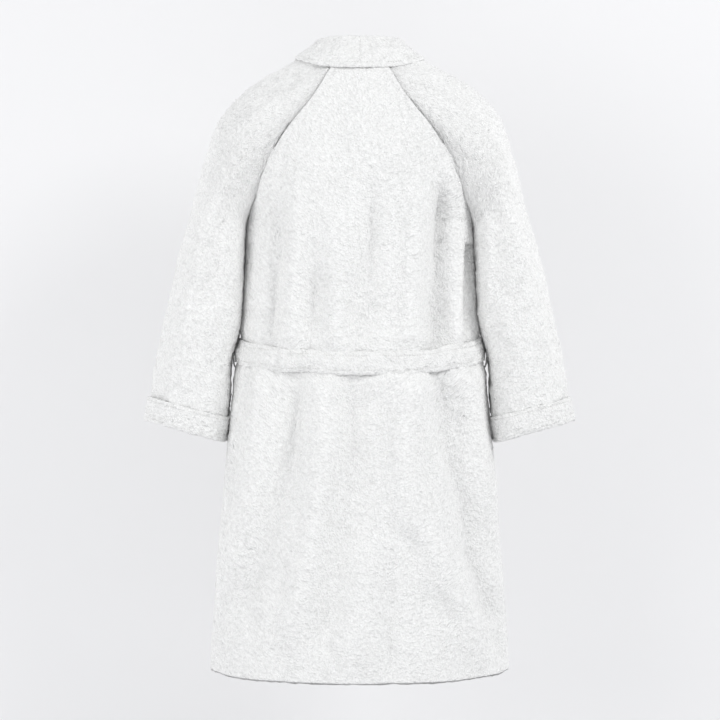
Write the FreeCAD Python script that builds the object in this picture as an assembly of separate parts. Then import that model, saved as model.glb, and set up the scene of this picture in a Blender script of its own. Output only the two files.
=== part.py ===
import FreeCAD, Part
import math
import os

# A knee-length terry bathrobe hanging from its neck loop, belt tied at the front.
# Millimetres. X runs across the robe (+X is the wearer's left), the front faces -Y and
# +Z is up. The origin is the inner top of the hanger loop, where a hook carries it.

V = FreeCAD.Vector

# cloth
clothThick = 5.0            # one layer of terry
layerGap = 0.5              # air between two layers that lie on each other
overlapOut = clothThick + layerGap

# body: (height, half width, half depth) of the hanging form, hem to neck
bodyY = -57.0               # middle of the body behind the loop
bodySections = [
    (-1100, 257, 133),
    (-1020, 253, 131),
    (-930, 246, 128),
    (-840, 239, 125),
    (-750, 232, 121),
    (-660, 225, 117),
    (-590, 217, 111),
    (-532, 208, 104),
    (-499, 203, 102),
    (-430, 201, 105),
    (-350, 197, 110),
    (-270, 198, 113),
    (-200, 212, 113),
    (-140, 222, 108),
    (-98, 222, 101),
    (-70, 213, 94),
    (-48, 184, 87),
    (-32, 152, 80),
    (-18, 124, 75),
    (-4, 98, 70),
]
bodySquareness = 2.25       # superellipse power of the body's outline
hemSideZ = -1071.0          # the hem is highest at the side seams
hemDrop = 23.0              # and this much lower at the middle

# left sleeve: (x, z, tilt from vertical, half width, half depth) along its centre line
sleeveSections = [
    (150, -120, 55, 60, 74),
    (196, -160, 40, 62, 84),
    (222, -215, 22, 56, 88),
    (241, -270, 14, 50, 87),
    (253, -330, 12, 52, 84),
    (266, -390, 12, 56, 80),
    (278, -455, 12, 58.5, 75),
    (289, -520, 12.5, 60.5, 70),
    (300, -590, 13.5, 62, 66),
    (310, -656, 15.5, 64, 62),
]
raglanSeam = [(47, -30), (84, -89), (117, -130), (142, -168), (166, -217), (187, -259), (190, -300)]
shoulderPivot = (266.0, -168.0)     # top outer end of the line where the arm folds
armpitPoint = (198.5, -306.0)       # its lower inner end
gapLine = [(200, -345), (208, -430), (222, -515), (236, -660), (254, -770)]  # between arm and body
shoulderTop = 120.0         # higher than any part of the shoulder
capReach = 120.0            # how far the fold line runs on past the shoulder
cuffDepth = 40.0
cuffRoom = 150.0            # half side of the block that cuts the cuff

# collar roll: (height, half width, half depth) of the fall's outer face
collarSections = [
    (-62, 131, 95),
    (-40, 127, 92),
    (-20, 119, 87),
    (-4, 107, 80),
    (10, 91, 71),
    (20, 78, 62),
]
collarRollTop = 26.0
collarFallBack = -31.0      # height of the fall's edge at the middle of the back
collarFallSide = -10.0      # and over the shoulders
collarClear = 0.6           # air under the fall
standGap = 1.5              # air between the fall and the stand inside it
standFoot = -4.0
halfGap = 0.2               # each collar half stops this far from the middle
lapelClear = 3.0            # the right lapel stops this short of the left front

# front edges, as (x, height), neck to hem; the left front laps over the right one
leftEdge = [(72, 34), (93, 0), (84, -60), (62, -150), (30, -270), (-30, -420), (-70, -520), (-70, -1130)]
rightEdge = [(-72, 34), (-93, 0), (-84, -60), (-62, -150), (-30, -270), (20, -420), (50, -520), (40, -1130)]
edgeCrossing = (-4, -352)
lapelOuter = [(-50, -486), (12, -440), (96, -300), (138, -180), (150, -70), (128, 20)]
stepX = (52.0, 66.0)        # where the left front steps out over the right one
underLap = 60.0             # the right front's cloth reaches this far past the middle
pastHem = -1130.0           # a height below the hem
pastTop = 34.0              # and one above the collar

# front corner that swings open, below this line across the left front
cornerTop = (-74.0, -884.0)
cornerFoot = (176.0, -1110.0)

# belt
beltHeight = 36.0
beltGrow = (3.2, 9.5)       # inside and outside faces over the body's outline
beltShift = -2.7            # the ring sits forward, to pass over the lapped front
beltBackZ = -541.0
beltSideZ = -515.0
beltFrontZ = -534.0
waistDepth = 104.5          # half depth of the body under the belt's front
knotSize = (76.0, 30.0, 46.0)
knotX = -3.0
knotGap = 1.6               # air between the belt and its knot
knotRound = 11.0
beltEndWidth = 40.0
beltEndThick = 8.0
beltEndRound = 2.0
beltEndTop = -562.0
beltEndLength = {"left": 345.0, "right": 318.0}
beltEndX = {"left": 20.0, "right": -26.0}
beltEndInnerY = (-182.0, -191.5)    # inner face at the knot and at the longer end's foot

# pockets
pocketX = (72.0, 206.0)
pocketZ = (-812.0, -632.0)
pocketGap = 14.0            # room inside the pouch
pocketSeam = 6.0
pocketClear = 0.3           # air between the pouch and the front

# small parts
loopTape = (9.0, 2.0)       # width and thickness of the hanger loop's tape
loopRadius = 26.0           # inside of its arch
loopLeg = 16.0
facingThick = 3.0
facingHalfMoon = [(-84, -4), (-72, -60), (-40, -104), (0, -118), (40, -104), (72, -60), (84, -4)]
facingClear = 0.3           # air between the facing and the back
labelThick = 1.2
labelClear = 0.1
neckLabelX = (-26.0, 26.0)
neckLabelZ = (-96.0, -64.0)
careLabelY = (bodyY + 3, bodyY + 33)
careLabelZ = (-745.0, -690.0)
beltLoopFace = 218.2        # inner face of the belt loop's band
beltLoopThick = 2.6
beltLoopWidth = 12.0
beltLoopZ = (-548.0, -482.0)
beltLoopRoot = 150.0        # its bands are cut off at the body from here

reach = 900.0               # longer than any cutting block needs to be
splitGap = 0.6              # air between the two sides of a joint


def outline(halfX, halfY, centreY, z, power, count=20):
    points = []
    for i in range(count):
        turn = 2 * math.pi * i / count
        c = math.cos(turn)
        s = math.sin(turn)
        x = halfX * math.copysign(abs(c) ** (2 / power), c)
        y = centreY + halfY * math.copysign(abs(s) ** (2 / power), s)
        points.append(V(x, y, z))
    curve = Part.BSplineCurve()
    curve.interpolate(Points=points, PeriodicFlag=True)
    return Part.Wire([curve.toShape()])


def bodyForm(grow, sections=bodySections):
    wires = [outline(a + grow, b + grow, bodyY, z, bodySquareness) for z, a, b in sections]
    return Part.makeLoft(wires, True, True)


def sleeveForm(grow):
    wires = []
    for x, z, tilt, halfWidth, halfDepth in sleeveSections:
        ring = outline(halfWidth + grow, halfDepth + grow, 0, 0, 2.0, 16)
        ring.rotate(V(0, 0, 0), V(0, 1, 0), -tilt)
        ring.translate(V(x, bodyY, z))
        wires.append(ring)
    return Part.makeLoft(wires, True, True)


def mirrored(shape):
    return shape.mirror(V(0, 0, 0), V(1, 0, 0))


def prismY(points, y0=-reach, y1=reach):
    """Block with its outline in the XZ plane, run along Y."""
    corners = [V(x, y0, z) for x, z in points]
    face = Part.Face(Part.makePolygon(corners + corners[:1]))
    return face.extrude(V(0, y1 - y0, 0))


def box(x, y, z):
    return Part.makeBox(x[1] - x[0], y[1] - y[0], z[1] - z[0], V(x[0], y[0], z[0]))


def sagBand(sideZ, backZ, frontZ, above, below):
    """Strip that runs across the robe and sags from the side seams to the middle."""
    line = [(bodyY + 145, backZ), (bodyY + 90, (3 * backZ + sideZ) / 4), (bodyY, sideZ)]
    line += [(bodyY - 90, (3 * frontZ + sideZ) / 4), (bodyY - 145, frontZ)]
    corners = [V(-reach, y, z + above) for y, z in line]
    corners += [V(-reach, y, z - below) for y, z in reversed(line)]
    face = Part.Face(Part.makePolygon(corners + corners[:1]))
    return face.extrude(V(2 * reach, 0, 0))


def withoutCrumbs(shape, least=40.0):
    solids = [s for s in shape.Solids if s.Volume > least]
    return solids[0] if len(solids) == 1 else Part.Compound(solids)


def write(name, shape):
    shape = withoutCrumbs(shape)
    os.makedirs("parts", exist_ok=True)
    shape.exportStep("parts/" + name + ".step")
    print(name, len(shape.Solids), "solid", round(shape.Volume / 1000, 1), "cm3", shape.isValid())


everywhere = (-reach, reach)
anyHeight = (-2 * reach, reach)
ahead = (-reach, bodyY)
behind = (bodyY, reach)
leftHalf = box((0, reach), everywhere, anyHeight)
hemAbove = sagBand(hemSideZ, hemSideZ - hemDrop, hemSideZ - hemDrop, 2 * reach, 0)
outerForm = bodyForm(0)
innerForm = bodyForm(-clothThick)
lapForm = bodyForm(overlapOut)
neckPart = [row for row in bodySections if row[0] > -530]
waistPart = [row for row in bodySections if -700 < row[0] < -400]
hipPart = [row for row in bodySections if -1000 < row[0] < -520]
neckOpening = leftEdge[:5] + [edgeCrossing] + rightEdge[4::-1]
neckBlock = prismY(neckOpening, -reach, bodyY)

# where the left sleeve is divided: the cap stays with the body, the arm swings
(pivotX, pivotZ), (pitX, pitZ) = shoulderPivot, armpitPoint
splitLength = math.hypot(pivotX - pitX, pivotZ - pitZ)
alongX = (pivotX - pitX) / splitLength
alongZ = (pivotZ - pitZ) / splitLength
capTop = (pivotX + alongX * capReach, pivotZ + alongZ * capReach)
overShoulder = [(320, shoulderTop), (raglanSeam[0][0], shoulderTop)]
capBlock = prismY(raglanSeam + [armpitPoint, shoulderPivot, capTop] + overShoulder)
armFar = [(reach, gapLine[-1][1]), (reach, capTop[1])]
armBlock = prismY([capTop, shoulderPivot, armpitPoint] + gapLine + armFar)
armClear = armBlock.copy()
armClear.translate(V(alongZ * splitGap, 0, -alongX * splitGap))

# left half of the cloth, body and sleeve in one, then cut along the seams
outside = outerForm.common(leftHalf).fuse(sleeveForm(0))
inside = innerForm.common(leftHalf).fuse(sleeveForm(-clothThick))
cloth = outside.cut(inside)
cap = cloth.common(capBlock).cut(neckBlock)
arm = cloth.common(armClear)
halfBody = cloth.cut(capBlock).cut(armBlock).common(hemAbove)
halfBack = halfBody.common(box(everywhere, behind, anyHeight))
halfFront = halfBody.common(box(everywhere, ahead, anyHeight))
write("back_panel", halfBack.fuse(mirrored(halfBack)))

# cuffs: a second layer round the sleeve's end
endX, endZ, endTilt = sleeveSections[-1][:3]
cuffBlock = Part.makeBox(2 * cuffRoom, 2 * cuffRoom, cuffRoom, V(-cuffRoom, -cuffRoom, cuffDepth - cuffRoom))
cuffBlock.rotate(V(0, 0, 0), V(0, 1, 0), -endTilt)
cuffBlock.translate(V(endX, bodyY, endZ))
cuff = sleeveForm(overlapOut).cut(sleeveForm(layerGap)).common(cuffBlock)
for side, flip in (("left", False), ("right", True)):
    for name, shape in (("sleeve_cap", cap), ("sleeve", arm), ("cuff", cuff)):
        write(name + "_" + side, mirrored(shape) if flip else shape)

# right front: one layer
underFront = mirrored(halfFront).fuse(halfFront.common(box((0, underLap), ahead, (pastHem, 0))))
rightRegion = prismY(rightEdge + [(-reach, pastHem), (-reach, pastTop)])
write("front_panel_right", underFront.common(rightRegion))

# left front: steps out past the middle to lap over the right one, with its corner apart
leftRegion = prismY(leftEdge + [(reach, pastHem), (reach, pastTop)])
stepOver = lapForm.cut(innerForm).common(box(stepX, ahead, (pastHem, 0)))
lap = lapForm.cut(bodyForm(layerGap)).common(box((-reach, stepX[1]), ahead, (pastHem, 0)))
besideLap = halfFront.common(box((stepX[0], reach), ahead, (pastHem, 0)))
leftFront = besideLap.fuse([stepOver, lap]).common(leftRegion).common(hemAbove).cut(capBlock)
cornerFar = [(cornerFoot[0], -reach * 2), (-reach, -reach * 2), (-reach, cornerTop[1])]
cornerBlock = prismY([cornerTop, cornerFoot] + cornerFar)
cornerCut = cornerBlock.copy()
cornerCut.translate(V(splitGap, 0, splitGap))
write("front_panel_left", leftFront.cut(cornerCut))
write("front_corner_left", leftFront.common(cornerBlock))


# collar: the fall outside and the lapel are one cloth, rolled over the stand inside
def collarForm(grow):
    wires = [outline(a + grow, b + grow, bodyY, z, bodySquareness) for z, a, b in collarSections]
    return Part.makeLoft(wires, True, True)


def rollForm():
    z, a, b = collarSections[-1]
    foot = outline(a, b, bodyY, z, bodySquareness)
    top = outline(a - clothThick, b - clothThick, bodyY, collarRollTop, bodySquareness)
    inset = 2 * clothThick + standGap
    hole = Part.Face(outline(a - inset, b - inset, bodyY, 0, bodySquareness))
    return Part.makeLoft([foot, top], True, True).cut(hole.extrude(V(0, 0, 2 * collarRollTop)))


def ringOf(outer, inner, sections=bodySections):
    return bodyForm(outer, sections).cut(bodyForm(inner, sections))


leftCollarSide = box((halfGap, reach), everywhere, anyHeight)
fallAbove = sagBand(collarFallSide, collarFallBack, collarFallSide, reach, 0)
fall = collarForm(0).cut(collarForm(-clothThick)).cut(bodyForm(collarClear)).common(fallAbove)
fallHalf = fall.fuse(rollForm()).cut(neckBlock).common(leftCollarSide)
stand = collarForm(-clothThick - standGap).cut(collarForm(-2 * clothThick - standGap))
stand = stand.common(box(everywhere, everywhere, (standFoot, reach))).cut(neckBlock)
standHalf = stand.common(leftCollarSide)
lapelShape = prismY(leftEdge[1:6] + lapelOuter, -reach, bodyY)
leftLapel = ringOf(2 * overlapOut, overlapOut + layerGap, neckPart).common(lapelShape)
rightLapel = ringOf(overlapOut, layerGap, neckPart).common(mirrored(lapelShape))
clearOfLeft = prismY([(x - lapelClear, z) for x, z in leftEdge] + [(reach, pastHem), (reach, pastTop)])
write("collar_left", fallHalf.fuse(leftLapel))
write("collar_right", mirrored(fallHalf).fuse(rightLapel.cut(clearOfLeft)))
write("undercollar_left", standHalf)
write("undercollar_right", mirrored(standHalf))

# inside the back of the neck, and the care label at the left side seam
facingOut = -clothThick - facingClear
facingIn = facingOut - facingThick
facingZone = prismY(facingHalfMoon, bodyY, reach)
write("back_neck_facing", ringOf(facingOut, facingIn, neckPart).common(facingZone))
labelOut = facingIn - labelClear
neckLabelRing = ringOf(labelOut, labelOut - labelThick, neckPart)
write("neck_label", neckLabelRing.common(box(neckLabelX, behind, neckLabelZ)))
careLabelRing = ringOf(facingOut, facingOut - labelThick)
write("care_label", careLabelRing.common(box((0, reach), careLabelY, careLabelZ)))

# hanger loop: a tape arch whose feet reach back to the facing
tapeWide, tapeThick = loopTape
alongY = V(0, 1, 0)
arch = Part.makeCylinder(loopRadius + tapeThick, tapeWide, V(0, -tapeWide / 2, -loopRadius), alongY)
arch = arch.cut(Part.makeCylinder(loopRadius, 2 * tapeWide, V(0, -tapeWide, -loopRadius), alongY))
arch = arch.common(box(everywhere, everywhere, (-loopRadius, reach)))
loopParts = []
footZ = (-loopRadius - loopLeg, -loopRadius - loopLeg + tapeWide)
for x in (-loopRadius - tapeThick, loopRadius):
    legX = (x, x + tapeThick)
    loopParts.append(box(legX, (-tapeWide / 2, tapeWide / 2), (footZ[0], -loopRadius)))
    loopParts.append(box(legX, (-tapeWide / 2, reach), footZ).common(bodyForm(facingIn, neckPart)))
write("hanger_loop", arch.fuse(loopParts))

# belt round the waist, over the lapped front
beltZone = sagBand(beltSideZ, beltBackZ, beltFrontZ, beltHeight / 2, beltHeight / 2)
beltRing = ringOf(beltGrow[1], beltGrow[0], waistPart)
beltRing.translate(V(0, beltShift, 0))
write("belt", beltRing.common(beltZone))

# belt loops at the side seams
loopY = (bodyY - beltLoopWidth / 2, bodyY + beltLoopWidth / 2)
loopHollowZ = (beltLoopZ[0] + beltLoopThick, beltLoopZ[1] - beltLoopThick)
beltLoop = box((beltLoopRoot, beltLoopFace + beltLoopThick), loopY, beltLoopZ)
beltLoop = beltLoop.cut(box((0, beltLoopFace), everywhere, loopHollowZ)).cut(bodyForm(0, waistPart))
write("belt_loop_left", beltLoop)
write("belt_loop_right", mirrored(beltLoop))

# knot and hanging ends
knotWide, knotDeep, knotHigh = knotSize
knotFace = bodyY + beltShift - waistDepth - beltGrow[1] - knotGap
knot = Part.makeBox(knotWide, knotDeep, knotHigh)
knot.translate(V(knotX - knotWide / 2, knotFace - knotDeep, beltFrontZ - knotHigh / 2))
write("belt_knot", knot.makeFillet(knotRound, knot.Edges))
innerTop, innerFoot = beltEndInnerY
beltEndSlope = (innerFoot - innerTop) / max(beltEndLength.values())
for side in ("left", "right"):
    length = beltEndLength[side]
    foot = beltEndTop - length
    innerEnd = innerTop + beltEndSlope * length
    x = beltEndX[side] - beltEndWidth / 2
    corners = [
        V(x, innerTop, beltEndTop),
        V(x, innerTop - beltEndThick, beltEndTop),
        V(x, innerEnd - beltEndThick, foot),
        V(x, innerEnd, foot),
    ]
    strip = Part.Face(Part.makePolygon(corners + corners[:1])).extrude(V(beltEndWidth, 0, 0))
    write("belt_end_" + side, strip.makeFillet(beltEndRound, strip.Edges))

# patch pockets: a pouch with sewn sides and foot
pouch = ringOf(pocketGap + clothThick, pocketClear, hipPart).common(box(pocketX, ahead, pocketZ))
roomX = (pocketX[0] + pocketSeam, pocketX[1] - pocketSeam)
roomZ = (pocketZ[0] + pocketSeam, 0)
pouch = pouch.cut(bodyForm(pocketGap, hipPart).common(box(roomX, ahead, roomZ)))
write("pocket_left", pouch)
write("pocket_right", mirrored(pouch))
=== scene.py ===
import math

import bmesh
import bpy
import numpy as np
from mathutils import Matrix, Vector
from mathutils.kdtree import KDTree


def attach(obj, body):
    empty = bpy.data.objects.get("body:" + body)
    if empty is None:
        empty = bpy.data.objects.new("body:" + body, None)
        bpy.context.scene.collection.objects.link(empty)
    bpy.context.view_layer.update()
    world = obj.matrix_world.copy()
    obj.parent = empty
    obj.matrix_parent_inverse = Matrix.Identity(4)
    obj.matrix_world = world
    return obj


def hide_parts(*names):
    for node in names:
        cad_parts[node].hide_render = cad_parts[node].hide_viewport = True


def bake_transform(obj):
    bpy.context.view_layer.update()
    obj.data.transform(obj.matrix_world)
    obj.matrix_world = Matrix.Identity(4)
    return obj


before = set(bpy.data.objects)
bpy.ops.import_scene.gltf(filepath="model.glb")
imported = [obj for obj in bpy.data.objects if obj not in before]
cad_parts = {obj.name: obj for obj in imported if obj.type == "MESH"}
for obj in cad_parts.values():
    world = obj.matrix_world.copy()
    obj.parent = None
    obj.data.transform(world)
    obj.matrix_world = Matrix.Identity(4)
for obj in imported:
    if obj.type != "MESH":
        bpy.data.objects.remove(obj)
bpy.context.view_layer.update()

bpy.ops.object.select_all(action="DESELECT")
randomLoops = np.random.default_rng(41)

# the hanging form that every panel is cut from, in metres
robe = {
    "middleY": -0.057,
    "square": 2.25,          # how boxy the outline is, 2 is an ellipse
    "thick": 0.0048,         # one layer of terry
    "loopNoise": 0.00075,    # how far single loops stand out
    "clumpNoise": 0.0013,    # and clumps of loops
    "folds": 1.45,           # depth of the hanging folds
    "hemSide": -1.071,
    "hemDrop": 0.010,
    "beltSide": -0.515,
    "beltBack": -0.5395,
    "beltFront": -0.534,
}
# height, half width, half depth
bodyRows = np.array([
    (-1.110, 0.257, 0.133), (-1.020, 0.253, 0.131), (-0.930, 0.246, 0.128), (-0.840, 0.239, 0.125),
    (-0.750, 0.232, 0.121), (-0.660, 0.225, 0.117), (-0.590, 0.217, 0.111), (-0.532, 0.208, 0.104),
    (-0.499, 0.203, 0.102), (-0.430, 0.201, 0.105), (-0.350, 0.197, 0.110), (-0.270, 0.198, 0.113),
    (-0.200, 0.212, 0.113), (-0.140, 0.222, 0.108), (-0.098, 0.222, 0.101), (-0.070, 0.213, 0.094),
    (-0.048, 0.184, 0.087), (-0.032, 0.152, 0.080), (-0.018, 0.124, 0.075), (-0.004, 0.098, 0.070),
])
# centre x, centre z, tilt in degrees, half width, half depth of the left sleeve, from the arm's top
sleeveRows = np.array([
    (0.247, -0.305, 13.0, 0.0510, 0.0855), (0.253, -0.330, 12.0, 0.0520, 0.0840),
    (0.266, -0.390, 12.0, 0.0560, 0.0800), (0.278, -0.455, 12.0, 0.0585, 0.0750),
    (0.289, -0.520, 12.5, 0.0605, 0.0700), (0.300, -0.590, 13.5, 0.0620, 0.0660),
    (0.310, -0.656, 15.5, 0.0640, 0.0620),
])
sleeveInner = np.array([0, 0.0030, 0.0090, 0.0145, 0.0065, 0.0130, 0.0100])   # the slack beside the body
raglanZ = np.array([-0.306, -0.285, -0.259, -0.217, -0.168, -0.130, -0.089, -0.030])
raglanX = np.array([0.1975, 0.1955, 0.187, 0.166, 0.142, 0.117, 0.084, 0.047])
leftEdgeZ = np.array([-1.130, -0.520, -0.420, -0.270, -0.150, -0.060, 0.0])
leftEdgeX = np.array([-0.070, -0.070, -0.030, 0.030, 0.062, 0.084, 0.093])
rightEdgeX = np.array([0.040, 0.050, 0.020, -0.030, -0.062, -0.084, -0.093])


def through(xs, ys, x):
    # smooth curve through a few points, level past its ends
    xs, ys = np.asarray(xs, float), np.asarray(ys, float)
    slope = np.gradient(ys, xs)
    x = np.clip(x, xs[0], xs[-1])
    i = np.clip(np.searchsorted(xs, x) - 1, 0, len(xs) - 2)
    h = xs[i + 1] - xs[i]
    t = (x - xs[i]) / h
    a = (2 * t**3 - 3 * t**2 + 1) * ys[i] + (t**3 - 2 * t**2 + t) * h * slope[i]
    return a + (3 * t**2 - 2 * t**3) * ys[i + 1] + (t**3 - t**2) * h * slope[i + 1]


def ramp(x, low, high):
    t = np.clip((x - low) / (high - low), 0, 1)
    return t * t * (3 - 2 * t)


def bump(x, middle, wide):
    return np.exp(-(((x - middle) / wide) ** 2))


def softNoise(u, v, size, seed):
    # smooth noise from -1 to 1 over a plane, size is the width of its lumps
    rng = np.random.default_rng(seed)
    table = rng.uniform(-1, 1, (64, 64))
    gu, gv = u / size, v / size
    iu, iv = np.floor(gu).astype(int), np.floor(gv).astype(int)
    fu, fv = gu - iu, gv - iv
    fu, fv = fu * fu * (3 - 2 * fu), fv * fv * (3 - 2 * fv)

    def at(a, b):
        return table[a % 64, b % 64]

    top = at(iu, iv) * (1 - fu) + at(iu + 1, iv) * fu
    low = at(iu, iv + 1) * (1 - fu) + at(iu + 1, iv + 1) * fu
    return top * (1 - fv) + low * fv


def halfSizes(z):
    return through(bodyRows[:, 0], bodyRows[:, 1], z), through(bodyRows[:, 0], bodyRows[:, 2], z)


def turnAt(x, z):
    # angle round the body at which its outline reaches x
    part = np.clip(np.abs(x) / halfSizes(z)[0], 0, 1) ** (robe["square"] / 2)
    return np.arccos(np.clip(np.sign(x) * part, -1, 1))


def bodyPoint(turn, z, out=0.0):
    a, b = halfSizes(z)
    c, s = np.cos(turn), np.sin(turn)
    p = robe["square"]
    x = a * np.sign(c) * np.abs(c) ** (2 / p)
    y = b * np.sign(s) * np.abs(s) ** (2 / p)
    nx = np.sign(c) * np.abs(x / a) ** (p - 1) / a
    ny = np.sign(s) * np.abs(y / b) ** (p - 1) / b
    length = np.hypot(nx, ny) + 1e-9
    return np.stack([x + out * nx / length, y + robe["middleY"] + out * ny / length, z + 0 * x], -1)


def foldField(x, z, folds):
    # sum of soft ridges and valleys
    total = np.zeros_like(x)
    fade = 0.06
    for path, width, height in folds:
        path = np.array(sorted(path, key=lambda q: q[1]))
        middle = through(path[:, 1], path[:, 0], z)
        reach = ramp(z, path[0, 1] - fade, path[0, 1] + fade * 0.6)
        reach = reach * (1 - ramp(z, path[-1, 1] - fade * 0.6, path[-1, 1] + fade))
        wide = width * (1 + 0.25 * np.sin(z * 23 + middle * 60))
        total += height * reach * bump(x, middle, wide)
    return total


def beltHeight(y):
    back = y > robe["middleY"]
    depth = np.where(back, robe["beltBack"], robe["beltFront"]) - robe["beltSide"]
    return robe["beltSide"] + depth * np.clip(np.abs(y - robe["middleY"]) / 0.104, 0, 1) ** 1.6


# each fold: path of (x, z), width, height (a valley is below 0)
backFolds = [
    ([(0.131, -0.289), (0.154, -0.499)], 0.017, -0.0075),
    ([(0.079, -0.400), (0.0875, -0.505)], 0.014, -0.0065),
    ([(-0.021, -0.270), (-0.0035, -0.516)], 0.022, -0.0095),
    ([(-0.149, -0.236), (-0.131, -0.394), (-0.131, -0.515)], 0.024, -0.0165),
    ([(-0.187, -0.324), (-0.187, -0.500)], 0.013, -0.0080),
    ([(0.107, -0.250), (0.112, -0.505)], 0.020, 0.0060),
    ([(0.035, -0.300), (0.040, -0.510)], 0.022, 0.0055),
    ([(-0.091, -0.260), (-0.088, -0.505)], 0.020, 0.0085),
    ([(-0.166, -0.300), (-0.162, -0.500)], 0.012, 0.0060),
    ([(0.105, -0.569), (0.114, -0.656), (0.154, -0.831), (0.201, -0.954)], 0.028, -0.0125),
    ([(0.0175, -0.569), (0.0175, -0.779), (0.061, -1.000)], 0.032, -0.0125),
    ([(-0.131, -0.551), (-0.161, -0.709), (-0.210, -0.936), (-0.236, -1.024)], 0.026, -0.0140),
    ([(-0.0525, -0.905), (-0.0525, -1.05)], 0.019, -0.0065),
    ([(-0.0875, -0.560), (-0.0875, -0.779), (-0.131, -0.866), (-0.201, -1.000)], 0.034, 0.0120),
    ([(0.062, -0.570), (0.068, -0.760), (0.110, -1.000)], 0.026, 0.0085),
    ([(0.160, -0.575), (0.190, -0.740), (0.225, -0.900)], 0.024, 0.0070),
    ([(-0.185, -0.560), (-0.215, -0.780)], 0.018, 0.0065),
    ([(0.000, -0.860), (0.010, -1.060)], 0.026, 0.0060),
]
frontFolds = [
    ([(0.120, -0.290), (0.150, -0.500)], 0.020, -0.0085),
    ([(0.060, -0.380), (0.075, -0.505)], 0.016, -0.0070),
    ([(-0.125, -0.300), (-0.140, -0.500)], 0.022, -0.0095),
    ([(-0.080, -0.400), (-0.085, -0.505)], 0.015, -0.0060),
    ([(0.095, -0.330), (0.110, -0.500)], 0.018, 0.0065),
    ([(-0.105, -0.330), (-0.112, -0.500)], 0.018, 0.0065),
    ([(0.170, -0.570), (0.190, -0.800), (0.215, -1.010)], 0.026, -0.0110),
    ([(0.060, -0.590), (0.052, -0.830), (0.080, -1.040)], 0.024, -0.0060),
    ([(-0.155, -0.570), (-0.180, -0.800), (-0.205, -1.010)], 0.026, -0.0110),
    ([(0.125, -0.860), (0.140, -1.060)], 0.030, 0.0090),
    ([(-0.110, -0.860), (-0.125, -1.060)], 0.030, 0.0085),
    ([(0.205, -0.600), (0.225, -0.900)], 0.020, 0.0060),
    ([(-0.198, -0.600), (-0.222, -0.900)], 0.020, 0.0060),
]


def seamDistance(x, z):
    # how far a point of a body panel is from the raglan seam, across the cloth
    edge = np.interp(z, raglanZ, raglanX)
    return np.where(z > -0.33, (edge - np.abs(x)) * 0.86, 1.0)


def drapeHeight(turn, z, folds):
    # how far the hanging cloth stands off its smooth form: folds, puckers and a pinched waist
    flat = bodyPoint(turn, z)
    x, y = flat[..., 0], flat[..., 1]
    around = turn * 0.19
    high = foldField(x, z, folds)
    high += 0.0022 * softNoise(around, z * 0.22, 0.034, 7) + 0.0016 * softNoise(around, z * 0.5, 0.052, 9)
    calm = ramp(seamDistance(x, z), 0.004, 0.05) * ramp(np.abs(y - robe["middleY"]), 0.002, 0.040)
    high *= robe["folds"] * calm
    fromBelt = z - beltHeight(y)
    gather = np.exp(-np.abs(fromBelt) / 0.030)
    high += calm * gather * 0.0036 * softNoise(around, z * 0.12, 0.0125, 15)
    high = high * (1 - 0.86 * bump(fromBelt, 0, 0.026)) - 0.0014 * bump(fromBelt, 0, 0.022)
    return high + 0.0035 * bump(fromBelt, 0.040, 0.018) + 0.0030 * bump(fromBelt, -0.042, 0.020)


def drape(turn, z, folds, out=0.0):
    return bodyPoint(turn, z, drapeHeight(turn, z, folds) + out)


def normalsOf(p, closed):
    # closed says that the first direction (columns) joins up
    du = np.roll(p, -1, 1) - np.roll(p, 1, 1) if closed else np.gradient(p, axis=1)
    dv = np.gradient(p, axis=0)
    n = np.cross(du, dv)
    return n / (np.linalg.norm(n, axis=-1, keepdims=True) + 1e-12)


def facing(grid, closed, spot, way):
    # normals of a grid, turned so that at one spot they face a known way
    n = normalsOf(grid, closed)
    return -n if n[spot] @ np.array(way) < 0 else n


def lengthsOf(p):
    # distance along each column and row, for the cloth's own pattern coordinates
    across = np.linalg.norm(np.diff(p, axis=1), axis=-1)
    down = np.linalg.norm(np.diff(p, axis=0), axis=-1)
    u = np.concatenate([np.zeros((p.shape[0], 1)), np.cumsum(across, 1)], 1)
    v = np.concatenate([np.zeros((1, p.shape[1])), np.cumsum(down, 0)], 0)
    return u - u.mean(1, keepdims=True), v


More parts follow.
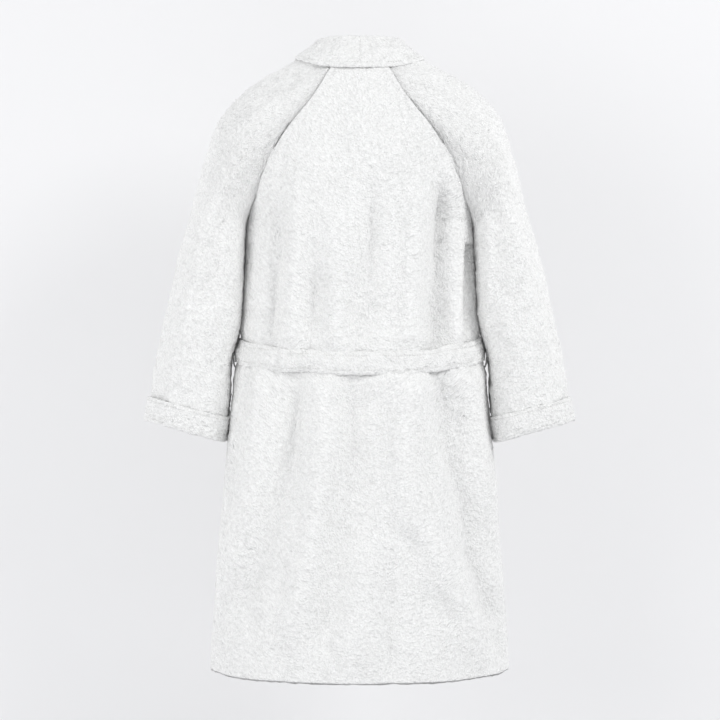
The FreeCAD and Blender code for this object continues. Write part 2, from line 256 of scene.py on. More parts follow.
def clothMesh(name, outer, thick, closed=False, rough=1.0, bulge=0.45, relief=None, fromFoot=False):
    # a closed sheet: outer face, inner face and rounded rims. outer is rows x columns x 3, its
    # normals (columns x rows) face out of the robe
    n = normalsOf(outer, closed)
    rows, cols = outer.shape[:2]
    u, v = lengthsOf(outer)
    if fromFoot:
        v = v - v[-1:]
    spacing = np.linalg.norm(np.gradient(outer, axis=1), axis=-1)
    spacing = np.minimum(spacing, np.linalg.norm(np.gradient(outer, axis=0), axis=-1))
    calm = np.clip(spacing / 0.0026, 0, 1)
    loops = randomLoops.normal(0, robe["loopNoise"], (rows, cols))
    clumps = robe["clumpNoise"] * softNoise(u, v, 0.0085, 21)
    clumps += 0.6 * robe["clumpNoise"] * softNoise(u + 0.3, v, 0.019, 22)
    pile = (loops + clumps) * rough * calm
    if relief is not None:
        pile = pile + relief
    inner = outer - n * thick
    innerPile = randomLoops.normal(0, robe["loopNoise"], (rows, cols)) * rough * calm
    face = outer + n * pile[..., None]
    back = inner - n * innerPile[..., None]
    verts = [face.reshape(-1, 3), back.reshape(-1, 3)]
    uvs = [np.stack([u, v], -1).reshape(-1, 2), np.stack([u + 3.0, v], -1).reshape(-1, 2)]
    index = np.arange(rows * cols).reshape(rows, cols)
    faces = []

    def quads(a, b, c, d):
        faces.append(np.stack([a.ravel(), b.ravel(), c.ravel(), d.ravel()], -1))

    nextCol = np.roll(index, -1, 1) if closed else None
    i0 = index if closed else index[:, :-1]
    i1 = nextCol if closed else index[:, 1:]
    quads(i0[:-1], i1[:-1], i1[1:], i0[1:])
    half = rows * cols
    quads(i0[:-1] + half, i0[1:] + half, i1[1:] + half, i1[:-1] + half)
    count = 2 * half

    def rim(line, beside, wrap, flip):
        # rounded edge between the two faces
        nonlocal count
        a, b = face.reshape(-1, 3)[line], back.reshape(-1, 3)[line]
        away = outer.reshape(-1, 3)[line] - outer.reshape(-1, 3)[beside]
        away /= np.linalg.norm(away, axis=-1, keepdims=True) + 1e-12
        gap = np.linalg.norm(a - b, axis=-1, keepdims=True)
        middle = (a + b) / 2 + away * gap * bulge
        verts.append(middle)
        uvs.append(np.stack([u.ravel()[line], v.ravel()[line] + 0.002], -1))
        m = count + np.arange(len(line))
        count += len(line)
        l0, l1, m0, m1 = line[:-1], line[1:], m[:-1], m[1:]
        if wrap:
            l0, l1, m0, m1 = line, np.roll(line, -1), m, np.roll(m, -1)
        if flip:
            quads(l1, l0, m0, m1)
            quads(m1, m0, l0 + half, l1 + half)
        else:
            quads(l0, l1, m1, m0)
            quads(m0, m1, l1 + half, l0 + half)

    rim(index[0], index[1], closed, True)
    rim(index[-1], index[-2], closed, False)
    corners = []
    if not closed:
        rim(index[:, 0], index[:, 1], False, False)
        rim(index[:, -1], index[:, -2], False, True)
        m = 2 * half
        top, low = m, m + cols
        left, right = m + 2 * cols, m + 2 * cols + rows
        last = half - cols
        corners = [
            (0, top, half, left), (top + cols - 1, cols - 1, right, half + cols - 1),
            (low, last, left + rows - 1, half + last),
            (half - 1, low + cols - 1, 2 * half - 1, right + rows - 1),
        ]
    mesh = bpy.data.meshes.new(name)
    faces = np.concatenate(faces).tolist() + [list(c) for c in corners]
    mesh.from_pydata(np.concatenate(verts).tolist(), [], faces)
    layer = mesh.uv_layers.new(name="cloth")
    loopVerts = np.empty(len(mesh.loops), int)
    mesh.loops.foreach_get("vertex_index", loopVerts)
    layer.data.foreach_set("uv", np.concatenate(uvs)[loopVerts].astype(np.float32).ravel())
    piece = bpy.data.objects.new(name, mesh)
    bpy.context.scene.collection.objects.link(piece)
    tidy = bmesh.new()
    tidy.from_mesh(mesh)
    bmesh.ops.dissolve_degenerate(tidy, dist=1e-6, edges=tidy.edges)
    bmesh.ops.recalc_face_normals(tidy, faces=tidy.faces)
    tidy.to_mesh(mesh)
    tidy.free()
    mesh.shade_smooth()
    return piece


def clothArea(p, closed=False):
    # area of a grid of points, the flat size that the sheet was cut to
    q = np.concatenate([p, p[:, :1]], 1) if closed else p
    one = np.cross(q[:-1, 1:] - q[:-1, :-1], q[1:, :-1] - q[:-1, :-1])
    two = np.cross(q[1:, :-1] - q[1:, 1:], q[:-1, 1:] - q[1:, 1:])
    return float((np.linalg.norm(one, axis=-1) + np.linalg.norm(two, axis=-1)).sum() / 2)


def sideNames(side):
    # side is 1 for the wearer's left
    return ("Left", "left") if side > 0 else ("Right", "right")


def addPiece(piece, material, nodes=(), body=None):
    piece.data.materials.append(material)
    if nodes:
        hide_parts(*nodes)
    if body:
        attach(piece, body)
    return piece


def rangeNode(nodes, links, source, low, high, ends=("To Min", "To Max")):
    made = nodes.new("ShaderNodeMapRange")
    made.inputs[ends[0]].default_value = low
    made.inputs[ends[1]].default_value = high
    links.new(source, made.inputs["Value"])
    return made.outputs["Result"]


def loopGroup():
    # height, tone and roughness of loop pile, from any coordinates; the tone darkens the hollows between
    # loops, which is painted shade
    group = bpy.data.node_groups.new("loopPile", "ShaderNodeTree")
    for name, kind in (("Vector", "Vector"), ("Loops", "Float"), ("Light", "Color"), ("PitShade", "Color")):
        group.interface.new_socket(name, in_out="INPUT", socket_type="NodeSocket" + kind)
    for name, kind in (("Height", "Float"), ("Color", "Color"), ("Roughness", "Float")):
        group.interface.new_socket(name, in_out="OUTPUT", socket_type="NodeSocket" + kind)
    nodes, links = group.nodes, group.links
    given, made = nodes.new("NodeGroupInput"), nodes.new("NodeGroupOutput")
    loops = nodes.new("ShaderNodeTexVoronoi")
    loops.feature = "SMOOTH_F1"
    loops.inputs["Smoothness"].default_value = 0.45
    fluff = nodes.new("ShaderNodeTexNoise")
    fluff.inputs["Scale"].default_value = 150
    fluff.inputs["Detail"].default_value = 4
    patches = nodes.new("ShaderNodeTexNoise")
    patches.inputs["Scale"].default_value = 14
    patches.inputs["Detail"].default_value = 3
    for texture in (loops, fluff, patches):
        links.new(given.outputs["Vector"], texture.inputs["Vector"])
    links.new(given.outputs["Loops"], loops.inputs["Scale"])
    mixed = nodes.new("ShaderNodeMath")
    mixed.operation = "MULTIPLY_ADD"       # clumps minus the hollows between loops
    mixed.inputs[1].default_value = -0.75
    links.new(loops.outputs["Distance"], mixed.inputs[0])
    links.new(fluff.outputs["Fac"], mixed.inputs[2])
    links.new(mixed.outputs[0], made.inputs["Height"])
    # low pile takes the darker colour: painted shade in the hollows between loops
    tone = rangeNode(nodes, links, mixed.outputs[0], -0.15, 0.42, ("From Min", "From Max"))
    colour = nodes.new("ShaderNodeMix")
    colour.data_type = "RGBA"
    links.new(tone, colour.inputs["Factor"])
    links.new(given.outputs["PitShade"], colour.inputs["A"])
    links.new(given.outputs["Light"], colour.inputs["B"])
    shade = nodes.new("ShaderNodeVectorMath")
    shade.operation = "SCALE"
    links.new(colour.outputs["Result"], shade.inputs[0])
    links.new(rangeNode(nodes, links, patches.outputs["Fac"], 0.975, 1.02), shade.inputs["Scale"])
    links.new(shade.outputs["Vector"], made.inputs["Color"])
    links.new(rangeNode(nodes, links, patches.outputs["Fac"], 0.86, 1.0), made.inputs["Roughness"])
    return group


loopPile = loopGroup()


def clothMaterial(name, light, deep, loops, bumpDeep, sheen, useUv=True):
    material = bpy.data.materials.new(name)
    material.use_nodes = True
    nodes, links = material.node_tree.nodes, material.node_tree.links
    shader = nodes["Principled BSDF"]
    place = nodes.new("ShaderNodeUVMap" if useUv else "ShaderNodeTexCoord")
    if useUv:
        place.uv_map = "cloth"
    pile = nodes.new("ShaderNodeGroup")
    pile.node_tree = loopPile
    links.new(place.outputs["UV" if useUv else "Object"], pile.inputs["Vector"])
    pile.inputs["Loops"].default_value = loops
    pile.inputs["Light"].default_value = (*light, 1)
    # deep is the darker colour for painted shade in the hollows between loops
    pile.inputs["PitShade"].default_value = (*deep, 1)
    bumpNode = nodes.new("ShaderNodeBump")
    bumpNode.inputs["Distance"].default_value = bumpDeep
    bumpNode.inputs["Strength"].default_value = 1.0
    links.new(pile.outputs["Height"], bumpNode.inputs["Height"])
    links.new(bumpNode.outputs["Normal"], shader.inputs["Normal"])
    links.new(pile.outputs["Color"], shader.inputs["Base Color"])
    links.new(pile.outputs["Roughness"], shader.inputs["Roughness"])
    shader.inputs["Sheen Weight"].default_value = sheen
    shader.inputs["Sheen Roughness"].default_value = 0.6
    shader.inputs["Specular IOR Level"].default_value = 0.12
    return material


# each cloth: loop colour, darker colour for painted shade in the hollows between loops, loop scale, bump
# depth, sheen
whites = {
    "terryBody": ((0.925, 0.925, 0.917), (0.80, 0.80, 0.79), 300, 0.0026, 0.20),
    "terrySleeve": ((0.925, 0.925, 0.917), (0.80, 0.80, 0.79), 300, 0.0026, 0.20),
    "terryCuff": ((0.925, 0.925, 0.917), (0.80, 0.80, 0.79), 310, 0.0026, 0.20),
    "terryCollar": ((0.93, 0.93, 0.922), (0.805, 0.805, 0.795), 310, 0.0026, 0.20),
    "terryBelt": ((0.92, 0.92, 0.912), (0.80, 0.80, 0.79), 320, 0.0025, 0.18),
    "terryPocket": ((0.925, 0.925, 0.917), (0.80, 0.80, 0.79), 300, 0.0026, 0.20),
    "cottonTape": ((0.86, 0.86, 0.845), (0.70, 0.70, 0.685), 900, 0.0005, 0.05),
    "labelTape": ((0.84, 0.845, 0.85), (0.74, 0.745, 0.75), 1100, 0.0003, 0.08),
}
cloths = {name: clothMaterial(name, *values) for name, values in whites.items()}
# the thread's second, darker colour is painted shade in the hollows of its pile, as in the cloths
threadMaterial = clothMaterial("thread", (0.82, 0.82, 0.80), (0.62, 0.62, 0.60), 1600, 0.0002, 0.0, False)
print("materials ready")


# one stitch of thread, in metres
stitch = {"long": 0.0030, "gap": 0.0016, "wide": 0.0008, "sunk": 0.0002}


def stitchRow(points, normals):
    # short raised dashes of thread along a line lying on the cloth
    step = np.linalg.norm(np.diff(points, axis=0), axis=1)
    along = np.concatenate([[0], np.cumsum(step)])
    every = stitch["long"] + stitch["gap"]
    starts = np.arange(every / 2, along[-1] - every, every)
    verts, faces = [], []
    for start in starts:
        spots = np.array([start, start + stitch["long"] / 2, start + stitch["long"]])
        p = np.stack([np.interp(spots, along, points[:, k]) for k in range(3)], -1)
        n = np.stack([np.interp(spots, along, normals[:, k]) for k in range(3)], -1)
        d = p[2] - p[0]
        side = np.cross(d, n[1])
        side *= stitch["wide"] / 2 / (np.linalg.norm(side) + 1e-12)
        p = p + n * np.array([-stitch["sunk"], 0.0009, -stitch["sunk"]])[:, None]
        base = len(verts)
        low = -n * 0.0010
        verts += [p[0], p[1] + side, p[1] - side, p[2], p[0] + low[0], p[2] + low[2]]
        faces += [(base, base + 1, base + 2), (base + 1, base + 3, base + 2)]
        faces += [(base, base + 2, base + 4), (base + 2, base + 5, base + 4)]
        faces += [(base + 2, base + 3, base + 5), (base, base + 4, base + 1)]
        faces += [(base + 4, base + 5, base + 1), (base + 5, base + 3, base + 1)]
    return verts, faces


def stitchPiece(name, lines, body=None):
    verts, faces = [], []
    for points, normals in lines:
        v, f = stitchRow(points, normals)
        faces += [tuple(i + len(verts) for i in face) for face in f]
        verts += v
    mesh = bpy.data.meshes.new(name)
    mesh.from_pydata([tuple(v) for v in verts], [], faces)
    piece = bpy.data.objects.new(name, mesh)
    bpy.context.scene.collection.objects.link(piece)
    return addPiece(piece, threadMaterial, (), body)


def rowLine(grid, normals, row, out=0.0, columns=None):
    # a line on a grid of cloth, at a row that may lie between two of them
    low = int(np.floor(row))
    part = row - low
    high = min(low + 1, len(grid) - 1)
    p = grid[low] * (1 - part) + grid[high] * part
    n = normals[low] * (1 - part) + normals[high] * part
    keep = slice(None) if columns is None else columns
    return p[keep] + n[keep] * out, n[keep]


# back and fronts, one sheet each
panel = {
    "rows": 250,
    "backColumns": 140,
    "frontColumns": 92,
    "top": -0.030,
    "hemDeep": 0.023,
    "seamHigh": 0.0012,      # felled seam beside the sleeve seam
    "overlap": 0.0055,       # the left front lies this far over the right one
}
fineSteps = np.array([0, 0.0012, 0.0026, 0.0042, 0.0060, 0.0078, 0.0105])


def spread(count, total, fineStart, fineEnd):
    # positions from 0 to total on each row, closer together beside a seam
    total = np.asarray(total)[:, None]
    fine = np.minimum(fineSteps[None, :], total * 0.022 * np.arange(len(fineSteps)))
    start = fine if fineStart else fine[:, :1]
    end = (total - fine)[:, ::-1] if fineEnd else total + 0 * fine[:, :1]
    middle = count - start.shape[1] - end.shape[1]
    part = np.arange(1, middle + 1)[None, :] / (middle + 1)
    between = start[:, -1:] + (end[:, :1] - start[:, -1:]) * part
    return np.concatenate([start, between, end], 1)


def sideTurn(z):
    edge = through(raglanZ, raglanX, z)
    return np.where(z < -0.306, -0.010, turnAt(edge, z))


def hemmed(top, turn, rows):
    # heights down the rows, so that the last one runs along the hem
    f = np.linspace(0, 1, rows)[:, None]
    base = top + f * (robe["hemSide"] - top)
    drop = robe["hemDrop"] * np.abs(np.sin(turn)) ** 1.3
    return base - drop * ramp(f, 0.5, 1.0)


def hemRelief(z, turn):
    toHem = z - (robe["hemSide"] - robe["hemDrop"] * np.abs(np.sin(turn)) ** 1.3)
    fold = 0.0012 * ramp(-toHem, -panel["hemDeep"], -panel["hemDeep"] + 0.004)
    return fold - 0.0016 * bump(toHem, panel["hemDeep"] + 0.001, 0.0028)


def makeBack():
    rows = panel["rows"]
    baseZ = np.linspace(panel["top"], robe["hemSide"], rows)
    start = sideTurn(baseZ)
    size = spread(panel["backColumns"], (np.pi - 2 * start) * 0.18, True, True) / 0.18
    turn = start[:, None] + size
    z = hemmed(panel["top"], turn, rows)
    flat = bodyPoint(turn, z)
    away = seamDistance(flat[..., 0], z)
    band = ramp(away, 0.0004, 0.0024) * (1 - ramp(away, 0.0055, 0.0078)) * (flat[..., 0] > 0)
    relief = panel["seamHigh"] * band + hemRelief(z, turn)
    relief -= 0.0008 * bump(away, 0.0092, 0.0016)
    relief -= 0.0007 * bump(away, 0.0, 0.0012)
    relief -= 0.0016 * bump(z, -0.0415, 0.0022)
    grid = drape(turn, z, backFolds)
    piece = clothMesh("backPanel", grid, robe["thick"], relief=relief)
    addPiece(piece, cloths["terryBody"], ["back_panel"], "root")
    n = normalsOf(grid, False)
    hemRow = rows - 1 - panel["hemDeep"] / (1.041 / rows)
    neck = (panel["top"] + 0.0415) / 1.041 * rows
    lines = [rowLine(grid, n, hemRow, -0.0004), rowLine(grid, n, neck, -0.0002, slice(30, -30))]
    stitchPiece("backStitches", lines, "root")


def makeFront(side):
    # side is 1 for the wearer's left
    rows, top = panel["rows"], -0.092
    baseZ = np.linspace(top, robe["hemSide"], rows)
    start = sideTurn(baseZ)
    edge = through(leftEdgeZ, leftEdgeX if side > 0 else -rightEdgeX, baseZ)
    edge = edge + 0.0075 * ramp(baseZ, -0.53 if side > 0 else -0.40, -0.47 if side > 0 else -0.34)
    total = turnAt(edge, baseZ) - start
    size = spread(panel["frontColumns"], total * 0.18, True, True) / 0.18
    t = start[:, None] + size
    z = hemmed(top, t, rows)
    turn = -t if side > 0 else -np.pi + t
    flat = bodyPoint(turn, z)
    x = flat[..., 0]
    step = panel["overlap"] * (1 - ramp(x, 0.050, 0.068)) if side > 0 else 0 * x
    away = seamDistance(x, z)
    band = ramp(away, 0.0004, 0.0024) * (1 - ramp(away, 0.0055, 0.0078)) * (side > 0)
    relief = panel["seamHigh"] * band + hemRelief(z, t) - 0.0007 * bump(away, 0.0, 0.0012)
    toEdge = (start[:, None] + total[:, None] - t) * 0.19
    if side > 0:
        relief += (0.0011 * (1 - ramp(toEdge, 0.024, 0.028)) - 0.0014 * bump(toEdge, 0.0285, 0.003))
    grid = drape(turn, z, frontFolds, step)
    name = "frontLeft" if side > 0 else "frontRight"
    nodes = ["front_panel_left", "front_corner_left"] if side > 0 else ["front_panel_right"]
    piece = clothMesh(name, grid, robe["thick"], relief=relief)
    addPiece(piece, cloths["terryBody"], nodes, None if side > 0 else "root")
    if side > 0:
        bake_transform(piece)
    n = facing(grid, False, (rows // 2, 40), (0, -1.0, 0))
    hemRow = rows - 1 - panel["hemDeep"] * rows / (top - robe["hemSide"])
    lines = [rowLine(grid, n, hemRow, -0.0004)]
    if side > 0:
        belowBelt = slice(int(0.50 * rows), rows - 3)
        lines.append((grid[belowBelt, -11] - n[belowBelt, -11] * 0.0006, n[belowBelt, -11]))
    stitches = stitchPiece(name + "Stitches", lines, None if side > 0 else "root")
    if side > 0:
        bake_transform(stitches)


makeBack()
makeFront(1)
makeFront(-1)


# each sleeve is one tube from the raglan seam to inside its cuff
sleeve = {
    "rows": 168,
    "columns": 128,
    "shoulderShare": 0.52,    # share of the rows from the seam to the top of the arm
    "fullness": 0.46,         # how far the shoulder's curve runs on before it drops
    "sleeveEnd": 0.985,       # the sleeve stops inside the cuff
    "tuck": 0.0020,           # the sleeve's edge lies this far under the seam's felled band
    "innerSquare": 3.1,       # how flat the sleeve lies against the body
    "cuffDeep": 0.042,
    "cuffProud": 0.0052,
}
sleeveFolds = [
    ([(0.105, -0.230), (0.115, -0.420)], 0.016, -0.0050),
    ([(0.070, -0.300), (0.095, -0.560)], 0.018, 0.0042),
    ([(0.145, -0.280), (0.150, -0.600)], 0.015, 0.0038),
    ([(0.030, -0.360), (0.045, -0.600)], 0.016, -0.0040),
    ([(-0.030, -0.300), (-0.040, -0.560)], 0.018, 0.0038),
    ([(-0.110, -0.260), (-0.100, -0.520)], 0.016, -0.0050),
    ([(-0.150, -0.300), (-0.140, -0.580)], 0.014, 0.0036),
]


def seamRing(count):
    # closed line round the sleeve's top: armpit, back seam, neckline, front seam
    backZ = np.linspace(-0.306, -0.030, 120)
    backTurn = sideTurn(backZ)
    edgeZ = np.linspace(-0.014, -0.087, 30)
    edgeTurn = -turnAt(through(leftEdgeZ, leftEdgeX, edgeZ) + 0.003, edgeZ)
    frontZ = np.linspace(-0.089, -0.306, 100)
    neckTurn = np.linspace(backTurn[-1], edgeTurn[0], 80)[1:-1]
    neckZ = through([edgeTurn[0], 0, backTurn[-1]], [-0.014, -0.007, -0.030], neckTurn)
    turns = np.concatenate([backTurn, neckTurn, edgeTurn, -sideTurn(frontZ)])
    zs = np.concatenate([backZ, neckZ, edgeZ, frontZ])
    p = bodyPoint(turns, zs)
    step = np.concatenate([[0], np.cumsum(np.linalg.norm(np.diff(p, axis=0), axis=1))])
    at = np.linspace(0, step[-1], count, endpoint=False)
    turns, zs = np.interp(at, step, turns), np.interp(at, step, zs)
    p = bodyPoint(turns, zs)
    nudge = 1e-4
    sideways = bodyPoint(turns + nudge, zs) - bodyPoint(turns - nudge, zs)
    upward = bodyPoint(turns, zs + nudge) - bodyPoint(turns, zs - nudge)
    n = np.cross(sideways, upward)
    return p, n / np.linalg.norm(n, axis=1, keepdims=True), at / step[-1]


def armRing(row, angle, out=0.0):
    # rings of the arm below the shoulder, row may be a fraction
    i = np.arange(len(sleeveRows))
    x, z, tilt, wide, deep = [through(i, sleeveRows[:, k], row) for k in range(5)]
    tilt = np.radians(tilt)
    wide, deep = wide + out, deep + out
    c, s = np.cos(angle), np.sin(angle)
    inner = c < 0
    wide = wide + np.where(inner, through(i, sleeveInner, row), 0.0)
    power = 2 / sleeve["innerSquare"]
    flatter = np.clip(-c, 0, 1) ** 0.5
    c = np.where(inner, c + flatter * (-np.abs(c) ** power - c), c)
    s = np.where(inner, s + flatter * (np.sign(s) * np.abs(s) ** power - s), s)
    across = wide * c
    return np.stack([x + across * np.cos(tilt), robe["middleY"] + deep * s, z + across * np.sin(tilt)], -1)


def sleeveGrid(side):
    p, n, share = seamRing(sleeve["columns"])
    angle = np.pi - share * 2 * np.pi
    wave = 0.5 - 0.5 * np.cos(share * 2 * np.pi)        # 0 at the armpit, 1 over the shoulder
    lean = np.stack([0.15 + 0.74 * wave ** 0.7, 0 * wave, -1 + 0.55 * wave], -1)
    start = lean - (lean * n).sum(-1, keepdims=True) * n
    start /= np.linalg.norm(start, axis=1, keepdims=True)
    p = p - start * sleeve["tuck"] + n * (0.0 if side > 0 else 0.0004)
    first, second = armRing(np.zeros_like(angle), angle), armRing(np.full_like(angle, 0.25), angle)
    down = second - first
    down /= np.linalg.norm(down, axis=1, keepdims=True)
    reach = np.linalg.norm(first - p, axis=1, keepdims=True) * (sleeve["fullness"] + 0.10 * wave[:, None])
    shoulderRows = int(sleeve["rows"] * sleeve["shoulderShare"])
    t = np.linspace(0, 1, shoulderRows)[:, None] ** 1.15 * np.ones_like(share)[None, :]
    seamSteps = fineSteps[:, None] / np.maximum(reach[:, 0][None, :] * 3.0, 0.02)
    t[: len(fineSteps)] = np.minimum(seamSteps, t[len(fineSteps)][None, :] * 0.12 * np.arange(7)[:, None])
    t = t[..., None]
    a, b, c = (1 - t) ** 3, 3 * t * (1 - t) ** 2, 3 * t * t * (1 - t)
    shoulder = a * p + b * (p + start * reach) + c * (first - down * reach) + t**3 * first
    armRows = sleeve["rows"] - shoulderRows
    rows = np.linspace(0, (len(sleeveRows) - 1) * sleeve["sleeveEnd"], armRows + 1)[1:]
    arm = np.stack([armRing(np.full_like(angle, row), angle) for row in rows])
    grid = np.concatenate([shoulder, arm])
    normals = facing(grid, True, (-3, len(share) // 2), (1.0, 0, 0))
    z = grid[..., 2]
    around = angle[None, :] * 0.065 + 0 * z
    calmSeam = ramp(np.arange(sleeve["rows"])[:, None] / sleeve["rows"], 0.03, 0.16)
    calmIn = 1 - 0.75 * np.exp(-((np.cos(angle)[None, :] + 1) / 0.55) ** 2)
    high = foldField(around * (1 if side > 0 else 0.93), z, sleeveFolds)
    seed = 31 if side > 0 else 57
    high += 0.0036 * softNoise(around, z * 0.28 + around * 0.4, 0.030, seed)
    high += 0.0014 * softNoise(around, z * 0.6 - around, 0.026, seed + 1)
    return grid + normals * (high * calmSeam * calmIn)[..., None]


def makeSleeve(side):
    name, node = sideNames(side)
    grid = sleeveGrid(side)
    steps = np.linalg.norm(np.diff(grid, axis=0), axis=-1)
    fromSeam = np.concatenate([np.zeros((1, grid.shape[1])), np.cumsum(steps, 0)])
    relief = -0.0005 * bump(fromSeam, sleeve["tuck"], 0.0012)
    if side > 0:
        relief += 0.0007 * (1 - ramp(fromSeam, 0.003, 0.009))
    if side < 0:
        band = ramp(fromSeam, 0.0004, 0.0020) * (1 - ramp(fromSeam, 0.0070, 0.0090))
        relief += panel["seamHigh"] * band
        relief -= 0.0008 * bump(fromSeam, 0.0104, 0.0016)
    mirror = np.array([side, 1.0, 1.0])
    piece = clothMesh("sleeve" + name, orient(grid * mirror, side), robe["thick"], True,
                      relief=orient(relief, side), fromFoot=True)
    addPiece(piece, cloths["terrySleeve"], ["sleeve_cap_" + node, "sleeve_" + node])
    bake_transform(piece)
    return grid


def orient(grid, side):
    # a mirrored grid runs the other way
    return grid if side > 0 else grid[:, ::-1]


cuff = {"columns": 128, "rows": 18, "stitchRows": (0.006, 0.013, 0.020), "topStitch": 0.037}


def makeCuff(side):
    name, node = sideNames(side)
    angle = np.pi - np.linspace(0, 2 * np.pi, cuff["columns"], endpoint=False)
    last = len(sleeveRows) - 1
    perRow = 0.0667                           # one step of rows down the arm
    down = np.linspace(sleeve["cuffDeep"], 0.0, cuff["rows"])
    rows = []
    for distance in down:
        edge = ramp(distance, 0.0, 0.005) * ramp(sleeve["cuffDeep"] - distance, -0.001, 0.004)
        out = sleeve["cuffProud"] - 0.0016 * (1 - edge)
        ring = armRing(np.full_like(angle, last - distance / perRow), angle, out)
        rows.append(ring)
    grid = np.stack(rows)
    around = angle[None, :] * 0.065
    seed = 31 if side > 0 else 57
    z = grid[..., 2]
    high = 0.0026 * softNoise(around + 0 * z, z * 0.45 + around * 0.5, 0.030, seed)
    high += 0.0012 * softNoise(around + 0 * z, z * 0.2, 0.012, seed + 5)
    calmIn = 1 - 0.6 * np.exp(-((np.cos(angle)[None, :] + 1) / 0.55) ** 2)
    normals = facing(grid, True, (5, len(angle) // 2), (1.0, 0, 0))
    grid = grid + normals * (high * calmIn)[..., None]
    distance = down[:, None] + 0 * z
    relief = -0.0012 * bump(distance, cuff["topStitch"], 0.0018)
    for low in cuff["stitchRows"]:
        relief -= 0.0008 * bump(distance, low, 0.0014)
    mirror = np.array([side, 1.0, 1.0])
    piece = clothMesh("cuff" + name, orient(grid * mirror, side), 0.0046, True, relief=orient(relief, side))
    addPiece(piece, cloths["terryCuff"], ["cuff_" + node], "arm_" + node)
    closed = np.concatenate([grid, grid[:, :1]], 1) * mirror
    closedNormals = np.concatenate([normals, normals[:, :1]], 1) * mirror
    spacing = sleeve["cuffDeep"] / (cuff["rows"] - 1)
    lines = []
    for low in (cuff["topStitch"],) + cuff["stitchRows"][:2]:
        lines.append(rowLine(closed, closedNormals, (sleeve["cuffDeep"] - low) / spacing, -0.0003))
    stitchPiece("cuffStitches" + name, lines, "arm_" + node)


for side in (1, -1):
    sleeveTop = makeSleeve(side)
    makeCuff(side)


# shawl collar, folded over at the back neck and running down both fronts
collar = {
    "columns": 170,
    "rows": 30,
    "lift": 0.0010,
    "foldHigh": 0.0020,
    "clear": 0.0085,          # height of the collar above the sleeve it lies on
    "overLeft": 0.0116,       # how far the lapels lie off the body's form
    "overRight": 0.0062,
    "leftHeights": (-0.080, -0.110, -0.150, -0.200, -0.250, -0.300, -0.350, -0.400, -0.440, -0.468, -0.485),
    "rightHeights": (-0.080, -0.110, -0.150, -0.200, -0.250, -0.300, -0.340, -0.370, -0.392, -0.404),
    "quilting": (0.0180, 0.0255, 0.0325),   # rows of stitches up from the outer edge
}
collarRows = np.array([
    (-0.062, 0.131, 0.095), (-0.040, 0.127, 0.092), (-0.020, 0.119, 0.087),
    (-0.004, 0.107, 0.080), (0.010, 0.091, 0.071), (0.020, 0.078, 0.062),
])
lapelZ = np.array([-0.486, -0.440, -0.300, -0.180, -0.070, 0.020])
lapelX = np.array([-0.050, 0.012, 0.096, 0.138, 0.150, 0.128])


def collarPoint(turn, z, out=0.0):
    a = through(collarRows[:, 0], collarRows[:, 1], z) + out
    b = through(collarRows[:, 0], collarRows[:, 2], z) + out
    p = 2 / robe["square"]
    c, s = np.cos(turn), np.sin(turn)
    x = a * np.sign(c) * np.abs(c) ** p
    y = b * np.sign(s) * np.abs(s) ** p
    return np.stack([x + 0 * z, y + robe["middleY"] + 0 * z, z + 0 * x], -1)


def shoulderHeight(x, y):
    # height of the sleeve's top under a point
    top = sleeveTop[: len(sleeveTop) // 3].reshape(-1, 3)
    tree = KDTree(len(top))
    for i, point in enumerate(top):
        tree.insert((point[0], point[1], 0), i)
    tree.balance()
    height = np.zeros(x.size)
    for i, place in enumerate(zip(x.ravel(), y.ravel())):
        near = tree.find_n((*place, 0), 6)
        height[i] = np.mean([top[found[1], 2] - 0.5 * found[2] for found in near])
    return height.reshape(x.shape)


def blurred(field, times):
    for _ in range(times):
        wide = np.pad(field, 1, mode="edge")
        field = (wide[:-2, 1:-1] + wide[2:, 1:-1] + wide[1:-1, :-2] + wide[1:-1, 2:]) / 4
    return field


def backStation(turn):
    foot = -0.010 - 0.021 * np.sin(turn) ** 1.2
    face = collarPoint(turn, np.linspace(foot, 0.0175, 6))
    roll = [(0.0228, -0.0012), (0.0260, -0.0057), (0.0236, -0.0103), (0.0165, -0.0116)]
    top = [collarPoint(turn, np.array(z), out) for z, out in roll]
    return np.concatenate([face, np.array(top)])


def frontStation(z, edgeX, outerX, over):
    # across a lapel from its outer edge, then round the front edge
    xs = np.linspace(outerX, edgeX + 0.003, 6)
    xs = np.concatenate([xs, edgeX + np.array([-0.0012, -0.0034, -0.0028, 0.0015])])
    outs = over - np.array([0, 0, 0, 0, 0, 0, 0.0006, 0.0046, 0.0092, 0.0108])
    zs = np.full_like(xs, z)
    return bodyPoint(-turnAt(xs, zs), zs, outs)


